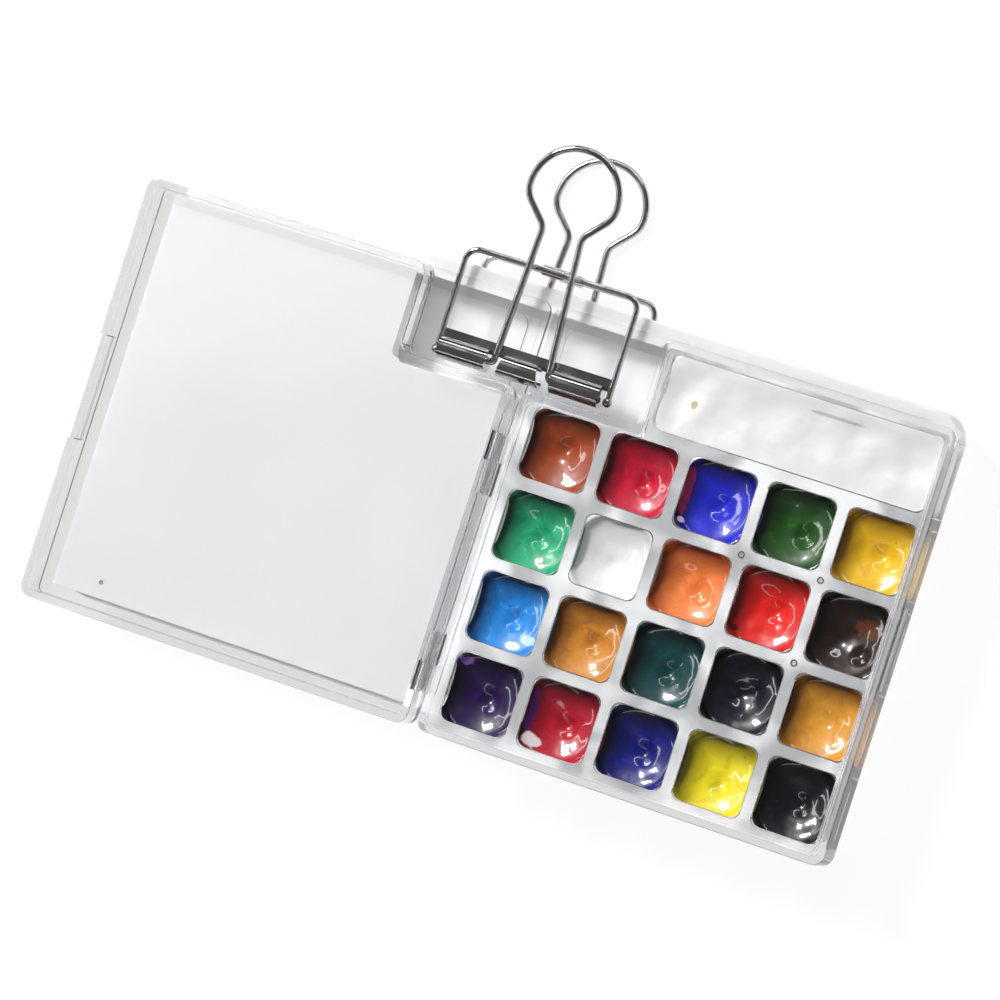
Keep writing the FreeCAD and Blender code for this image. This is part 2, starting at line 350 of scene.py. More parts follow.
def clear_film(material, tree, shader, tint):
    """Let lamps shine through: shadow rays meet a thin tinted film."""
    film = put(tree, "ShaderNodeBsdfTransparent", {"Color": tint})
    path = put(tree, "ShaderNodeLightPath")
    both = put(tree, "ShaderNodeMixShader", {0: path.outputs["Is Shadow Ray"]})
    tree.links.new(shader.outputs[0], both.inputs[1])
    tree.links.new(film.outputs[0], both.inputs[2])
    tree.links.new(both.outputs[0], tree.nodes["Material Output"].inputs["Surface"])


def room_mask(tree, at, inset, bottom, top, from_hinge):
    """One inside both halves of the box, the given distance in from the outer edges and from the hinge."""
    masks = []
    for side in (-1, 1):
        near, far = sorted((side * from_hinge, side * (LID - inset)))
        feeds = {"Position": at, "Low": place(near, inset - WIDTH, bottom), "High": place(far, -inset, top)}
        masks.append(place_group(tree, zone, {**feeds, "Soft": LINE_SOFT * MM})["Mask"])
    return maths(tree, "MAXIMUM", *masks)


def make_clear_plastic(name, frosted):
    material, tree, shader, at = new_material(name)
    surface = place_group(tree, moulded, {"Position": at, "Wave": 45.0, "Grain": 1400.0})
    tint = blend_colours(tree, surface["Waves"], (0.93, 0.935, 0.94, 1), (0.87, 0.88, 0.89, 1))
    gloss = ramp(tree, surface["Waves"], 0.3, 0.7, 0.015, 0.05)
    inner = room_mask(tree, at, FOOT, -50, 50, 0.0)
    low = place(-LID - 9, -WIDTH - 9, -50)
    high = place(-104, 9, 50)
    end = place_group(tree, zone, {"Position": at, "Low": low, "High": high, "Soft": 8 * MM})["Mask"]
    # Painted shade: outside the foot line the plastic is tinted darker, a little less at the lid's outer end.
    rim = blend_colours(tree, end, (0.80, 0.80, 0.81, 1), (0.73, 0.73, 0.72, 1))
    tint = blend_colours(tree, inner, rim, tint)
    # Painted shade: two fine grey lines, along the foot's step and along the wall's root.
    for inset, thick in ((FOOT, 0.9), (WALL, 0.4)):
        around = room_mask(tree, at, inset - thick, -1, 0.9, inset + 0.5 - thick)
        within = room_mask(tree, at, inset, -1, 1.2, inset + 0.5)
        line = maths(tree, "SUBTRACT", around, within)
        tint = blend_colours(tree, maths(tree, "MAXIMUM", line, 0.0), tint, (0.76, 0.76, 0.78, 1))
    if frosted:
        low = place(-LID + FOOT, -WIDTH + FOOT, -1)
        high = place(-FOOT_HINGE, -FOOT, 1.75)
        whole = place_group(tree, zone, {"Position": at, "Low": low, "High": high, "Soft": 0.4 * MM})["Mask"]
        low = place(-NOTCH - WALL - 0.3, -NOTCH_DEPTH - WALL - 0.3, -2)
        high = place(5, 5, 3)
        flange = place_group(tree, zone, {"Position": at, "Low": low, "High": high, "Soft": 0.4 * MM})["Mask"]
        frost = put(tree, "ShaderNodeClamp", {"Value": maths(tree, "SUBTRACT", whole, flange)}).outputs[0]
        gloss = maths(tree, "MULTIPLY_ADD", frost, FROST_ROUGH, gloss)
        speck = noise(tree, at, 2600.0, detail=2.0)
        cloudy = blend_colours(tree, speck, (0.93, 0.93, 0.93, 1), (0.99, 0.99, 0.985, 1))
        tint = blend_colours(tree, frost, tint, cloudy)
    tree.links.new(tint, shader.inputs["Base Color"])
    tree.links.new(gloss, shader.inputs["Roughness"])
    tree.links.new(bump(tree, surface["Height"], 0.05, 0.2 * MM), shader.inputs["Normal"])
    shader.inputs["Transmission Weight"].default_value = 1.0
    shader.inputs["IOR"].default_value = PLASTIC_IOR
    film = blend_colours(tree, inner, (0.95, 0.95, 0.955, 1), (0.975, 0.975, 0.98, 1))
    clear_film(material, tree, shader, film)
    return material


tray_plastic = make_clear_plastic("clear_tray", frosted=False)
lid_plastic = make_clear_plastic("clear_lid", frosted=True)
pin_plastic = make_clear_plastic("clear_pin", frosted=False)
print("clear plastics:", tray_plastic.name, lid_plastic.name, pin_plastic.name)

# %% [markdown]
# Milky plastic. The tray behind the box is a soft white plastic that light sinks into. It gets a pale body
# with some light spreading under the skin, a satin gloss, and a faint grain. The clouded sheets in the deck
# and in the lid's floor are the same plastic, but less light sinks into them.


# %% Milky plastic
def make_milky(name, colour_low, colour_high, gloss, wave, soak=0.8, depth=1.0):
    material, tree, shader, at = new_material(name)
    surface = place_group(tree, moulded, {"Position": at, "Wave": wave, "Grain": 700.0})
    colour = blend_colours(tree, ramp(tree, surface["Waves"], 0.35, 0.65), colour_low, colour_high)
    rough = maths(tree, "MULTIPLY_ADD", surface["Dust"], 0.15, gloss)
    tree.links.new(colour, shader.inputs["Base Color"])
    tree.links.new(rough, shader.inputs["Roughness"])
    tree.links.new(bump(tree, surface["Height"], 0.08, 0.2 * MM), shader.inputs["Normal"])
    shader.inputs["Subsurface Weight"].default_value = soak
    shader.inputs["Subsurface Radius"].default_value = (1.0, 1.0, 1.0)
    shader.inputs["Subsurface Scale"].default_value = depth * MM
    shader.inputs["IOR"].default_value = 1.5
    return material


low, high = (0.76, 0.76, 0.76, 1), (0.80, 0.80, 0.80, 1)
backing_plastic = make_milky("milky_backing", low, high, 0.32, 12.0, depth=5.0)
low, high = (0.36, 0.36, 0.365, 1), (0.66, 0.66, 0.66, 1)
deck_plastic = make_milky("milky_deck", low, high, 0.4, 55.0, soak=0.25)
low, high = (0.505, 0.505, 0.505, 1), (0.54, 0.54, 0.538, 1)
frost_plastic = make_milky("milky_lid_floor", low, high, 0.6, 9.0, soak=0.1)
print("milky plastics:", backing_plastic.name, deck_plastic.name, frost_plastic.name)

# %% [markdown]
# Polished steel. The clip is bent from nickel plated wire and strip. The plating is mirror bright with a warm
# grey tone; drawing the wire leaves faint uneven polish, and handling leaves duller spots.


# %% Polished steel
def make_steel():
    material, tree, shader, at = new_material("polished_steel_clip")
    surface = place_group(tree, moulded, {"Position": at, "Wave": 90.0, "Grain": 2500.0})
    colour = blend_colours(tree, surface["Waves"], (0.50, 0.485, 0.47, 1), (0.74, 0.73, 0.72, 1))
    gloss = ramp(tree, surface["Waves"], 0.3, 0.75, 0.07, 0.2)
    tree.links.new(colour, shader.inputs["Base Color"])
    tree.links.new(maths(tree, "MULTIPLY_ADD", surface["Dust"], 0.2, gloss), shader.inputs["Roughness"])
    tree.links.new(bump(tree, surface["Height"], 0.15, 0.1 * MM), shader.inputs["Normal"])
    shader.inputs["Metallic"].default_value = 1.0
    return material


steel = make_steel()
print("made", steel.name)


# %% Give the CAD pieces their finishes
def finish_node(name, material):
    """Put one material on a CAD node."""
    slots = frame["nodes"][name].data.materials
    slots.clear()
    slots.append(material)


finish_node("tray_shell", tray_plastic)
finish_node("lid_shell", lid_plastic)
finish_node("hinge_pin_upper", pin_plastic)
finish_node("hinge_pin_lower", pin_plastic)
finish_node("backing_tray", backing_plastic)
clip_nodes = [name for name in frame["nodes"] if name.startswith("clip_")]
for name in clip_nodes:
    finish_node(name, steel)
print("steel on", sorted(clip_nodes))

# %% [markdown]
# Wet paint. Fresh gouache is glossy and covers well. Its colour shifts a little where it is thick or thin, it
# holds streaks from stirring, and small air pits stay in it, darkened with the deep tone as painted shade.
# One node group mixes these three tones, and each paint feeds it with its own colours. The base is nearly
# matt and a clear coat gives the wet shine.


# %% Group: paint tones
def make_tones():
    inputs = [
        ("Position", "Vector", None),
        ("Deep", "Color", None),
        ("Main", "Color", None),
        ("Light", "Color", None),
        ("Streak", "Float", 160.0),
    ]
    outputs = [("Color", "Color"), ("Roughness", "Float"), ("Height", "Float")]
    tree, given, out = new_group("paint_tones", inputs, outputs)
    swirl = noise(tree, given["Position"], given["Streak"], detail=3.0, rough=0.55, twist=1.8)
    colour = blend_colours(tree, ramp(tree, swirl, 0.20, 0.55, 0.45, 1.0), given["Deep"], given["Main"])
    colour = blend_colours(tree, ramp(tree, swirl, 0.56, 0.80, 0.0, 0.5), colour, given["Light"])
    feeds = {"Position": given["Position"], "Scale": 380.0, "Size": 0.13, "Share": 0.22}
    hole = ramp(tree, place_group(tree, pits, feeds)["Mask"], 0.0, 0.5)
    # Painted shade: the air pits are darkened with the deep tone.
    colour = blend_colours(tree, maths(tree, "MULTIPLY", hole, 0.6), colour, given["Deep"])
    fine = noise(tree, given["Position"], 700.0, detail=2.0)
    height = maths(tree, "MULTIPLY_ADD", fine, 0.08, maths(tree, "MULTIPLY", swirl, 0.6))
    height = maths(tree, "SUBTRACT", height, hole)
    rough = ramp(tree, swirl, 0.3, 0.7, 0.42, 0.28)
    for name, value in (("Color", colour), ("Roughness", rough), ("Height", height)):
        tree.links.new(value, out[name])
    return tree


tones = make_tones()
print("made group", tones.name)

# %% [markdown]
# A stain is a patch of another colour with a ragged edge, such as a smear left by the brush at a well's side.
# It is a soft ball around a place, pushed out of shape by noise.


# %% Group: stain
def make_stain():
    inputs = [("Position", "Vector", None), ("Centre", "Vector", None)]
    inputs += [("Stretch", "Vector", (1, 1, 1)), ("Size", "Float", MM)]
    tree, given, out = new_group("stain", inputs, [("Mask", "Float")])
    feeds = {0: given["Position"], 1: given["Centre"]}
    away = put(tree, "ShaderNodeVectorMath", feeds, operation="SUBTRACT").outputs[0]
    away = put(tree, "ShaderNodeVectorMath", {0: away, 1: given["Stretch"]}, operation="DIVIDE").outputs[0]
    far = put(tree, "ShaderNodeVectorMath", {0: away}, operation="LENGTH").outputs["Value"]
    ragged = noise(tree, given["Position"], 420.0, detail=3.0, rough=0.6)
    edge = maths(tree, "MULTIPLY", given["Size"], maths(tree, "ADD", ragged, 0.5))
    soft = maths(tree, "MULTIPLY", given["Size"], 0.25)
    share = maths(tree, "DIVIDE", maths(tree, "SUBTRACT", edge, far), soft)
    tree.links.new(put(tree, "ShaderNodeClamp", {"Value": share}).outputs[0], out["Mask"])
    return tree


stain = make_stain()
print("made group", stain.name)

# %% [markdown]
# The wells sit in a grid of five by four, with one long well above them. The paints are listed as they lie,
# each with its deep, main and light tone, where its dips and humps are, and any stain. Dips and humps are
# (across, up, depth, reach) in millimetres from the middle of the well.

# %% The paints
PAINTS = {
    "burnt_sienna": {
        "tones": [(0.098, 0.016, 0.005), (0.342, 0.056, 0.013), (0.494, 0.105, 0.028)],
        "dips": [(0.4, 1.4, 1.5, 3.0), (-3.5, -1.5, 1.0, 5.5), (5.0, -2.5, -0.6, 4.0)],
    },
    "carmine": {
        "tones": [(0.149, 0.002, 0.009), (0.585, 0.008, 0.039), (0.806, 0.052, 0.104)],
        "dips": [
            (1.6, -1.6, 1.6, 3.2),
            (4.0, 2.2, -0.8, 3.5),
            (-1.5, -3.5, -0.7, 2.6),
            (-3.6, 2.0, 0.9, 5.0),
        ],
    },
    "ultramarine": {
        "tones": [(0.01, 0.007, 0.11), (0.017, 0.022, 0.609), (0.07, 0.112, 0.95)],
        "dips": [(1.0, -1.2, 1.2, 3.6), (-0.8, 1.8, -0.5, 3.0), (-4.0, 0.5, 0.8, 5.0)],
        "stains": [
            ((-8.3, 0.5, 7), (0.5, 3.0, 2), 2.4, (0.30, 0.02, 0.10)),
            ((-8.0, -7.4, 7), (1, 0.7, 1), 1.5, (0.6, 0.5, 0.55)),
        ],
    },
    "sap_green": {
        "tones": [(0.004, 0.018, 0.004), (0.018, 0.085, 0.012), (0.06, 0.20, 0.03)],
        "dips": [(2.2, -1.6, 2.0, 3.4), (-0.8, 1.0, -0.6, 2.6), (-3.6, 2.5, 1.0, 5.0)],
    },
    "golden_yellow": {
        "tones": [(0.53, 0.24, 0.011), (0.896, 0.532, 0.016), (0.95, 0.7, 0.052)],
        "dips": [(1.6, -0.6, 1.3, 3.6), (-1.0, 1.2, -0.4, 3.0), (-5.0, -3.0, 0.9, 4.5)],
    },
    "emerald": {
        "tones": [(0.005, 0.132, 0.058), (0.024, 0.408, 0.19), (0.176, 0.744, 0.448)],
        "dips": [
            (1.0, -0.8, 1.3, 3.0),
            (1.0, 2.6, -0.7, 2.6),
            (-3.4, 2.5, 1.1, 5.0),
            (3.5, -4.5, -0.5, 3.0),
        ],
    },
    "white": {
        "tones": [(0.80, 0.80, 0.80), (0.93, 0.93, 0.93), (0.95, 0.95, 0.945)],
        "dips": [(-0.5, -1.8, 1.0, 2.6), (1.5, 1.0, -0.4, 3.5)],
        # The white keeps more of its tone in the painted shade by the walls.
        "shadow": 0.85,
    },
    "orange": {
        "tones": [(0.60, 0.085, 0.012), (0.95, 0.25, 0.06), (0.95, 0.42, 0.14)],
        "dips": [
            (1.8, -1.6, 1.5, 3.2),
            (0.0, 0.6, -0.5, 2.6),
            (-4.2, 1.0, 1.1, 5.0),
            (5.6, -1.0, -0.5, 2.6),
        ],
    },
    "scarlet": {
        "tones": [(0.322, 0.006, 0.005), (0.805, 0.016, 0.011), (0.95, 0.072, 0.04)],
        "dips": [
            (1.4, -0.6, 1.3, 3.0),
            (-2.6, -5.0, -0.9, 2.4),
            (-3.4, 2.0, 1.1, 5.0),
            (3.0, -4.0, 0.8, 2.6),
        ],
        "stains": [((-7.6, -7.2, 7), (1, 0.8, 1), 1.4, (0.05, 0.003, 0.003))],
    },
    "umber": {
        "tones": [(0.007, 0.004, 0.003), (0.024, 0.01, 0.006), (0.112, 0.038, 0.015)],
        "dips": [
            (-3.4, -2.6, 1.3, 4.0),
            (1.6, -1.2, -0.6, 3.4),
            (4.2, -4.2, 1.2, 2.6),
            (4.4, 2.8, 0.8, 3.4),
        ],
        "stains": [((3.2, 2.5, 7), (1.4, 1, 1), 3.2, (0.13, 0.035, 0.012))],
    },
    "azure": {
        "tones": [(0.008, 0.061, 0.25), (0.022, 0.272, 0.78), (0.288, 0.714, 0.95)],
        "dips": [(1.0, -1.4, 1.4, 3.0), (0.2, 2.2, -0.8, 3.0), (-4.0, 1.0, 1.0, 5.0)],
        "stains": [((6.4, -5.0, 7), (2, 1, 1), 1.6, (0.45, 0.66, 0.85))],
    },
    "yellow_ochre": {
        "tones": [(0.301, 0.1, 0.011), (0.69, 0.27, 0.032), (0.862, 0.42, 0.09)],
        "dips": [
            (1.2, -0.6, 1.4, 3.0),
            (0.0, 1.4, -0.6, 2.6),
            (-4.0, 1.5, 1.0, 5.0),
            (4.4, -3.8, -0.5, 3.0),
        ],
    },
    "viridian": {
        "tones": [(0.003, 0.014, 0.016), (0.006, 0.055, 0.058), (0.024, 0.16, 0.158)],
        "dips": [
            (0.8, -1.8, 1.4, 3.2),
            (0.4, 2.4, -0.6, 3.0),
            (-4.0, 2.0, 1.0, 5.0),
            (4.6, -4.0, 0.7, 2.8),
        ],
    },
    "indigo": {
        "tones": [(0.002, 0.002, 0.005), (0.005, 0.004, 0.015), (0.022, 0.021, 0.06)],
        "dips": [
            (-1.6, -1.2, 1.2, 3.2),
            (2.4, 1.0, 1.0, 3.0),
            (0.4, -5.0, 0.8, 3.0),
            (-3.0, 4.0, -0.5, 3.0),
        ],
    },
    "raw_sienna": {
        "tones": [(0.306, 0.098, 0.014), (0.756, 0.336, 0.034), (0.95, 0.544, 0.102)],
        "dips": [
            (1.4, -1.0, 0.9, 3.4),
            (4.6, -1.6, -0.8, 2.4),
            (-3.4, 1.0, 0.8, 4.5),
            (4.8, -5.2, -0.6, 2.0),
        ],
        "stains": [((3.6, -2.0, 7), (3.4, 0.35, 1), 1.3, (0.03, 0.012, 0.004))],
    },
    "violet": {
        "tones": [(0.007, 0.002, 0.024), (0.018, 0.003, 0.062), (0.06, 0.015, 0.186)],
        "dips": [
            (1.0, -0.8, 1.3, 3.2),
            (-4.0, 1.0, 0.9, 5.0),
            (3.0, -4.6, -0.5, 3.0),
            (0.0, 3.0, -0.4, 2.6),
        ],
        "stains": [((-7.6, 7.4, 7), (1.6, 1, 1), 1.8, (0.22, 0.10, 0.45))],
    },
    "crimson": {
        "tones": [(0.137, 0.002, 0.011), (0.475, 0.007, 0.028), (0.665, 0.063, 0.08)],
        "dips": [
            (1.2, -1.0, 1.4, 3.2),
            (4.0, 2.8, -0.5, 3.0),
            (-3.8, 1.0, 1.0, 5.0),
            (3.5, -4.5, -0.5, 2.6),
        ],
        "stains": [
            ((-8.2, 0.5, 7), (0.5, 3.0, 2), 2.2, (0.10, 0.01, 0.14)),
            ((-6.4, -7.0, 7), (1.6, 1, 1), 2.0, (0.75, 0.66, 0.68)),
        ],
    },
    "deep_blue": {
        "tones": [(0.004, 0.004, 0.048), (0.006, 0.008, 0.18), (0.032, 0.04, 0.45)],
        "dips": [
            (1.4, -1.4, 1.4, 3.2),
            (-0.6, 2.2, -0.6, 2.8),
            (-4.0, 1.0, 1.0, 5.0),
            (4.4, -4.4, -0.6, 2.8),
        ],
    },
    "lemon": {
        "tones": [(0.484, 0.399, 0.01), (0.92, 0.77, 0.015), (0.95, 0.95, 0.22)],
        "dips": [
            (0.6, -2.6, 1.3, 3.2),
            (-1.0, 0.0, -0.7, 2.4),
            (-4.0, 2.0, 0.9, 5.0),
            (4.0, 0.5, -0.4, 3.0),
        ],
        "stains": [((5.4, 6.0, 7), (1, 1, 1), 0.7, (0.25, 0.18, 0.01))],
    },
    "black": {
        "tones": [(0.002, 0.002, 0.003), (0.005, 0.005, 0.010), (0.03, 0.03, 0.05)],
        "dips": [
            (0.6, -1.0, 1.2, 3.2),
            (-3.4, 2.4, 0.9, 4.4),
            (4.0, -4.0, -0.7, 2.6),
            (-2.0, -4.6, 0.7, 2.6),
        ],
    },
}
print(len(PAINTS), "small paints")


# %% Material of one paint
# Share of the deep tone kept in the painted shade along each well's left and upper walls.
SHADOW = 0.35
OPEN_REACH = 6.0
WALL_GAP = 0.7


def make_paint(name, tone_colours, stains, room, shadow=SHADOW, streak=150.0):
    """Wet paint in three tones, with painted shade along the room's left and upper walls, and with stains.

    A stain is (place, stretch, size, colour), and shadow says how much of the deep tone is kept in the
    painted shade by the walls.
    """
    material, tree, shader, at = new_material("paint_" + name)
    deep, main, light = [(*colour, 1) for colour in tone_colours]
    feeds = {"Position": at, "Deep": deep, "Main": main, "Light": light, "Streak": streak}
    tone = place_group(tree, tones, feeds)
    # Painted shade: away from the open side the paint turns to a darkened deep tone, along the left and upper
    # walls.
    low, high = room
    low = low + Vector((WALL_GAP, -OPEN_REACH, -20)) * MM
    high = high + Vector((OPEN_REACH, -WALL_GAP, 20)) * MM
    feeds = {"Position": at, "Low": low, "High": high, "Soft": 5.2 * MM}
    open_side = place_group(tree, zone, feeds)["Mask"]
    shade = tuple(shadow * part for part in deep[:3]) + (1,)
    colour = blend_colours(tree, open_side, shade, tone["Color"])
    for spot, stretch, size, stain_colour in stains:
        feeds = {"Position": at, "Centre": spot, "Stretch": stretch, "Size": size * MM}
        mask = place_group(tree, stain, feeds)["Mask"]
        colour = blend_colours(tree, mask, colour, (*stain_colour, 1))
    tree.links.new(colour, shader.inputs["Base Color"])
    tree.links.new(tone["Roughness"], shader.inputs["Roughness"])
    tree.links.new(bump(tree, tone["Height"], 0.14, 0.12 * MM), shader.inputs["Normal"])
    shader.inputs["IOR"].default_value = 1.45
    shader.inputs["Coat Weight"].default_value = 0.9
    shader.inputs["Coat Roughness"].default_value = 0.06
    return material


# %% [markdown]
# Each paint is poured into its well, pressed down in the middle and drawn up along the walls, with a dimple
# where a brush has stood. A fine grid is laid over the well, large soft pushes make the hollow, small ones
# the dimples, and a cloudy displacement the uneven skin. The sheet is then given a body down to the floor and
# cut to the well's own rounded shape, a hair into the plastic, so that no air shows between the two.

# %% Sculpting helpers
DECK = 9.1
RIM = 8.75
WELL_CORNER = 2.3
HAIR = 0.03
skin_large = bpy.data.textures.new("skin_large", "CLOUDS")
skin_large.noise_scale = 6.5 * MM
skin_large.noise_depth = 0
skin_small = bpy.data.textures.new("skin_small", "CLOUDS")
skin_small.noise_scale = 2.2 * MM
skin_small.noise_depth = 1


def push(sheet, x, y, depth, reach, falloff="SMOOTH"):
    """Push the sheet down round a place, as with a soft thumb."""
    spot = Vector((x, y))
    nearest = min(sheet.data.vertices, key=lambda v: (v.co.xy - spot).length_squared).index
    pick(sheet, "VERT", lambda v: v.index == nearest)
    bpy.ops.transform.translate(
        value=(0, 0, -depth * MM),
        use_proportional_edit=True,
        proportional_edit_falloff=falloff,
        proportional_size=reach * MM,
    )
    bpy.ops.object.mode_set(mode="OBJECT")


def lay_sheet(name, low, high, step):
    """A fine grid that covers the space between two corners, at the paint's rim."""
    size = high - low
    start_fresh()
    cells = [max(8, round(length / step)) for length in size.xy]
    middle = (low + high) / 2
    spot = (middle.x, middle.y, place(0, 0, RIM).z)
    bpy.ops.mesh.primitive_grid_add(x_subdivisions=cells[0], y_subdivisions=cells[1], size=1, location=spot)
    sheet = bpy.context.object
    sheet.name = name
    sheet.scale = (size.x, size.y, 1)
    settle()
    return sheet


def give_body(sheet, depth):
    """Draw the sheet's border down and close it underneath."""
    pick(sheet, "FACE", lambda f: True)
    bpy.ops.mesh.region_to_loop()
    bpy.ops.mesh.extrude_edges_move(TRANSFORM_OT_translate={"value": (0, 0, -depth * MM)})
    centre = sum((Vector(c) for c in sheet.bound_box), Vector()) / 8
    centre.z = min(v.co.z for v in sheet.data.vertices) - depth * MM
    bpy.ops.transform.resize(value=(1, 1, 0), center_override=centre)
    bpy.ops.mesh.edge_face_add()
    bpy.ops.mesh.select_all(action="SELECT")
    bpy.ops.mesh.normals_make_consistent(inside=False)
    bpy.ops.object.mode_set(mode="OBJECT")


def cut_to_well(sheet, low, high):
    """Keep only what lies inside the well's rounded room."""
    hair = Vector((HAIR, HAIR, HAIR)) * MM
    top = Vector((high.x, high.y, place(0, 0, DECK + 2).z))
    room = block("room", low - hair, top + hair, WELL_CORNER * MM, 1.8 * MM)
    use(sheet, "BOOLEAN", operation="INTERSECT", object=room, solver="EXACT")
    scrap(room)
    take_up(sheet)
    bpy.ops.object.shade_smooth_by_angle(angle=math.radians(50))


# %% Pour the small wells
def ripple(sheet, texture, strength, mid_level):
    """Lift and lower the sheet by a cloudy texture; strength is in millimetres."""
    lift = {"direction": "Z", "strength": strength * MM, "mid_level": mid_level}
    use(sheet, "DISPLACE", texture=texture, texture_coords="GLOBAL", **lift)


def pour(name, recipe):
    node = "paint_" + name
    low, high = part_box(node)
    margin = Vector((0.4, 0.4, 0)) * MM
    sheet = lay_sheet("wet_" + name, low - margin, high + margin, 0.36 * MM)
    middle = (low + high) / 2
    push(sheet, middle.x + 0.3 * MM, middle.y - 0.3 * MM, 3.3, 11.0, "SPHERE")
    push(sheet, middle.x + 0.6 * MM, middle.y - 0.6 * MM, 1.4, 7.5)
    for across, up, depth, reach in recipe["dips"]:
        share = 0.75 if abs(depth) > 1.0 else 0.4
        push(sheet, middle.x + across * MM, middle.y + up * MM, depth * share, reach + 0.6)
    ripple(sheet, skin_large, 0.55, 0.5)
    ripple(sheet, skin_small, 0.07, 0.5)
    give_body(sheet, 8.0)
    cut_to_well(sheet, low, high)
    stains = []
    for (across, up, height), stretch, size, colour in recipe.get("stains", []):
        spot = Vector((middle.x + across * MM, middle.y + up * MM, place(0, 0, height).z))
        stains.append((spot, stretch, size, colour))
    sheet.data.materials.clear()
    # How much of the deep tone the painted shade by the walls keeps on this paint.
    shadow = recipe.get("shadow", SHADOW)
    sheet.data.materials.append(make_paint(name, recipe["tones"], stains, (low, high), shadow))
    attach(sheet, "tray")
    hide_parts(node)
    return sheet


for name, recipe in PAINTS.items():
    sheet = pour(name, recipe)
    print(sheet.name, len(sheet.data.polygons), "faces")

# %% [markdown]
# The long well holds a thick pour of white. It was spread with a brush, so it has broad uneven waves, a dip
# at its left end, a few air pits, a tan fleck, and a dark streak of dirty water near the upper right.

# %% Pour the long well
low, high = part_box("paint_white_long")
margin = Vector((0.4, 0.4, 0)) * MM
long_white = lay_sheet("wet_white_long", low - margin, high + margin, 0.55 * MM)
middle = (low + high) / 2
LONG_PUSHES = [
    (-32.0, 1.0, 1.4, 8.0),
    (-20.0, -2.0, 0.5, 8.0),
    (-9.0, 2.0, 0.6, 9.0),
    (4.0, -1.0, 0.4, 8.0),
    (14.0, 3.0, 0.6, 8.0),
    (22.0, -3.0, 0.4, 8.0),
    (31.0, 2.0, 0.6, 8.0),
]
for across, up, depth, reach in LONG_PUSHES:
    push(long_white, middle.x + across * MM, middle.y + up * MM, depth, reach)
ripple(long_white, skin_large, 0.5, 0.6)
ripple(long_white, skin_small, 0.12, 0.5)
give_body(long_white, 8.0)
cut_to_well(long_white, low, high)
spots = [
    (place(45.8, -14.0, 8), (1, 1, 1), 1.3, (0.52, 0.42, 0.26)),
    (place(82.0, -6.4, 8), (6.5, 0.4, 2), 1.3, (0.52, 0.52, 0.53)),
    (place(38.0, -21.5, 8), (1, 1, 1), 0.6, (0.35, 0.05, 0.06)),
]
white_tones = [(0.80, 0.80, 0.81), (0.88, 0.88, 0.88), (0.93, 0.93, 0.93)]
long_white.data.materials.clear()
# The long white gets a light painted shade along its left and upper walls.
long_white.data.materials.append(make_paint("white_long", white_tones, spots, (low, high), 0.85, streak=60.0))
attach(long_white, "tray")
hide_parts("paint_white_long")
print(long_white.name, len(long_white.data.polygons), "faces")

# %% [markdown]
# The deck between the wells is not as clear as the outer walls: it is clouded, like frosted glass, so the
# paints don't show through it from above. A thin milky sheet lies just under the deck's skin to carry this.
# It is a block cut to the deck's outline, with one rounded hole for each well.

# %% Clouded deck
LINER_TOP = DECK - 0.12
LINER_LOW = DECK - 0.5
edge = WALL + 0.15
liner = block(
    "deck_liner",
    place(1.5 + edge, -WIDTH + edge, LINER_LOW),
    place(LID - edge, -edge, LINER_TOP),
    1.5 * MM,
)
wells = ["paint_" + name for name in PAINTS] + ["paint_white_long"]
for node in wells:
    low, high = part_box(node)
    out = Vector((0.35, 0.35, 0)) * MM
    above = Vector((0, 0, 6 * MM))
    drill = block("drill", low - out, high + out + above, 2.5 * MM)
    use(liner, "BOOLEAN", operation="DIFFERENCE", object=drill, solver="EXACT")
    scrap(drill)
notch = block("notch", place(-5, -NOTCH_DEPTH - edge, 0), place(NOTCH + edge, 5, 20), 1.5 * MM)
use(liner, "BOOLEAN", operation="DIFFERENCE", object=notch, solver="EXACT")
scrap(notch)
liner.data.materials.clear()
liner.data.materials.append(deck_plastic)
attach(liner, "tray")
print(liner.name, len(liner.data.polygons), "faces")

# %% [markdown]
# The lid's floor is clouded too, and hides the tray behind it. Its sheet is let into the thickness of the
# floor inside the foot line, and is cut away at the notch, where the plastic stays clear under the clip.

# %% Clouded lid floor
SHEET_TOP = 2.3
lid_sheet = block(
    "lid_floor_frost",
    place(-LID + FOOT, -WIDTH + FOOT, 0.85),
    place(-FOOT_HINGE, -SHEET_TOP, 1.35),
    1.4 * MM,
)
past = WALL + 1.0
notch = block("notch", place(-NOTCH - past, -NOTCH_DEPTH - past, -2), place(5, 5, 20), 1.4 * MM)
use(lid_sheet, "BOOLEAN", operation="DIFFERENCE", object=notch, solver="EXACT")
scrap(notch)
lid_sheet.data.materials.clear()
lid_sheet.data.materials.append(frost_plastic)
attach(lid_sheet, "lid")
print(lid_sheet.name, len(lid_sheet.data.polygons), "faces")

# %% [markdown]
# Small round marks where the moulding pins pushed the plastic out of its mould: three on the deck, where the
# webs cross, and a smaller one in the lid's near corner. Each is a dark grey ring, painted shade for the
# pin's shallow dimple.

